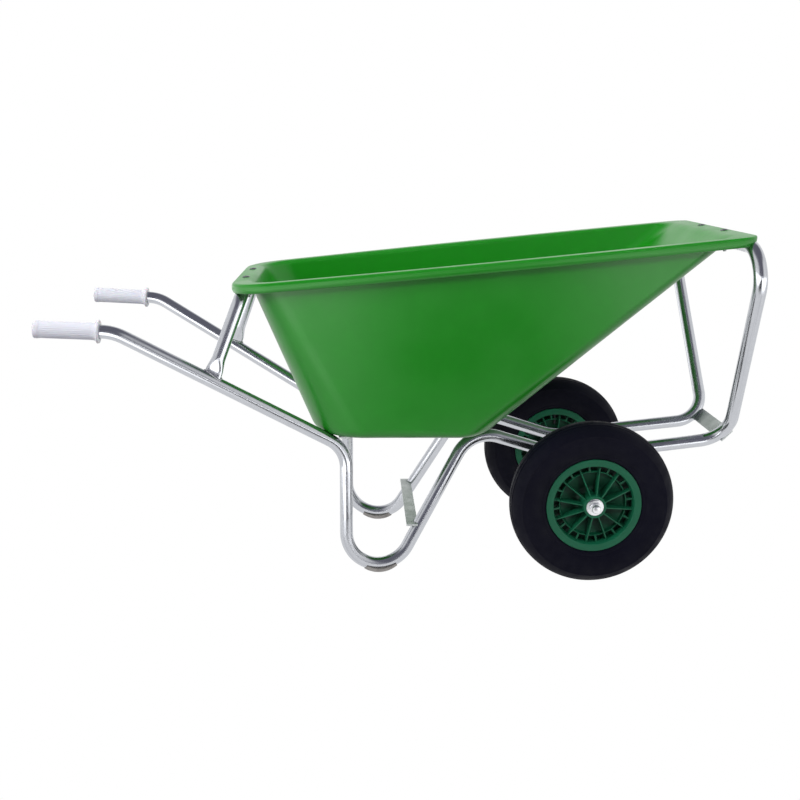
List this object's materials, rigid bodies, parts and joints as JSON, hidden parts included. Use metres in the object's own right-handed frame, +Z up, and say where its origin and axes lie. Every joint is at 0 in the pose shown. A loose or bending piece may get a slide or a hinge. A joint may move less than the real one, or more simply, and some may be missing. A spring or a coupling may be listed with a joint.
{
  "type": "wheelbarrow",
  "caption": "Two-wheel wheelbarrow: a deep sloping plastic tub on a bent tube frame with U-shaped legs, long handles, a hooped nose and pneumatic wheels on a through axle.",
  "frame": {"origin": "on the ground, midway between the grips' ends and the nose and midway between the two sides", "axes": "+X forwards from the grips to the nose, +Y to the operator's left, +Z up; the ground is z = 0"},
  "size_m": [1.6952, 0.6948, 0.848],
  "materials": {
    "tub": "satin moulded polyethylene",
    "galvanised_tube": "bright galvanised",
    "galvanised_strip": "dull galvanised",
    "grip": "satin",
    "tyre": "smooth tread",
    "inner_tube": "matte",
    "wheel_rim": "satin moulded",
    "bright_steel": "zinc plated"
  },
  "bodies": {
    "frame": {"tub": "tub", "frame_tube_left": "galvanised_tube", "frame_tube_right": "galvanised_tube", "grip_left": "grip", "grip_right": "grip", "rear_support": "galvanised_tube", "tub_rest": "galvanised_strip", "leg_brace": "galvanised_strip", "front_brace": "galvanised_strip", "foot_shoe_left": "galvanised_strip", "foot_shoe_right": "galvanised_strip", "axle_bracket_left": "galvanised_strip", "axle_bracket_right": "galvanised_strip", "tub_bolt_front_left": "bright_steel", "tub_bolt_front_right": "bright_steel", "tub_bolt_rear_left": "bright_steel", "tub_bolt_rear_right": "bright_steel", "tub_nut_front_left": "bright_steel", "tub_nut_front_right": "bright_steel", "tub_nut_rear_left": "bright_steel", "tub_nut_rear_right": "bright_steel", "axle": "bright_steel", "axle_spacer_left": "galvanised_strip", "axle_spacer_right": "galvanised_strip", "axle_washer_left": "bright_steel", "axle_washer_right": "bright_steel", "axle_nut_left": "bright_steel", "axle_nut_right": "bright_steel"},
    "wheel_left": {"tyre_left": "tyre", "inner_tube_left": "inner_tube", "wheel_rim_left": "wheel_rim", "outer_bearing_left": "bright_steel", "inner_bearing_left": "bright_steel", "valve_stem_left": "inner_tube", "valve_cap_left": "inner_tube"},
    "wheel_right": {"tyre_right": "tyre", "inner_tube_right": "inner_tube", "wheel_rim_right": "wheel_rim", "outer_bearing_right": "bright_steel", "inner_bearing_right": "bright_steel", "valve_stem_right": "inner_tube", "valve_cap_right": "inner_tube"}
  },
  "joints": [
    {"name": "wheel_left_spin", "type": "hinge", "parent": "frame", "child": "wheel_left", "pos_m": [0.455, 0.2584, 0.2], "axis": [0, 1, 0], "continuous": true},
    {"name": "wheel_right_spin", "type": "hinge", "parent": "frame", "child": "wheel_right", "pos_m": [0.455, -0.2584, 0.2], "axis": [0, 1, 0], "continuous": true}
  ]
}
